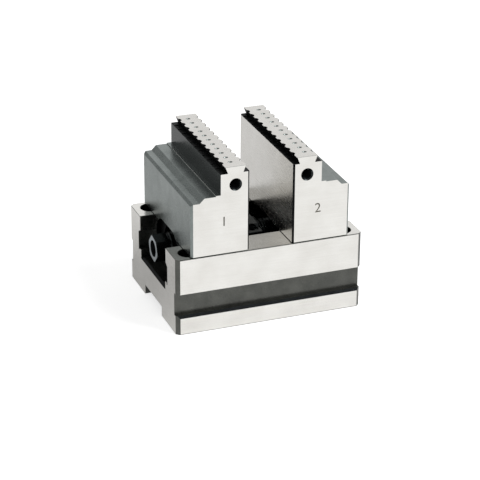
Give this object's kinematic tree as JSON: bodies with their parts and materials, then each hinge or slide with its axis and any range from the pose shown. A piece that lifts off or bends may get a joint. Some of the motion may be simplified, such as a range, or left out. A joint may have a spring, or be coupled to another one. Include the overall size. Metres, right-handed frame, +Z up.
{
  "type": "self-centering vise",
  "caption": "Compact steel vise whose stepped, serrated jaws close towards the middle together on one left-hand and right-hand screw.",
  "frame": {"origin": "middle of the base's underside, on the surface that the vise stands on", "axes": "+X along the screw, +Y across the jaws towards the back, +Z up"},
  "size_m": [0.08, 0.06, 0.07],
  "materials": {
    "ground_steel": "hardened steel, black oxide on the milled faces and fine ground on the working faces",
    "black_oxide_steel": "black oxide, satin",
    "bright_steel": "plain hardened steel fasteners",
    "bronze": "turned bearing bronze"
  },
  "bodies": {
    "base": {"base_body": "ground_steel", "center_block": "black_oxide_steel", "center_cap": "black_oxide_steel", "bearing_shell_lower": "bronze", "bearing_shell_upper": "bronze", "thrust_washer_left": "bronze", "thrust_washer_right": "bronze", "cap_screw_front": "black_oxide_steel", "cap_screw_back": "black_oxide_steel", "dowel_front": "bright_steel", "dowel_back": "bright_steel"},
    "screw": {"spindle": "black_oxide_steel"},
    "left_slider": {"left_jaw": "ground_steel", "left_nut": "bronze", "left_nut_screw_front": "bright_steel", "left_nut_screw_back": "bright_steel"},
    "right_slider": {"right_jaw": "ground_steel", "right_nut": "bronze", "right_nut_screw_front": "bright_steel", "right_nut_screw_back": "bright_steel"}
  },
  "joints": [
    {"name": "left_jaw_slide", "type": "slide", "parent": "base", "child": "left_slider", "axis": [1, 0, 0], "range_m": [-0.006, 0.009]},
    {"name": "right_jaw_slide", "type": "slide", "parent": "base", "child": "right_slider", "axis": [-1, 0, 0], "range_m": [-0.006, 0.009]},
    {"name": "spindle_turn", "type": "hinge", "parent": "base", "child": "screw", "pos_m": [0, 0, 0.0255], "axis": [1, 0, 0], "range_deg": [-1728, 2592]}
  ],
  "couplings": [
    {"joint": "right_jaw_slide", "follows": "left_jaw_slide", "ratio": 1},
    {"joint": "spindle_turn", "follows": "left_jaw_slide", "rad_per_m": 5026.5}
  ]
}
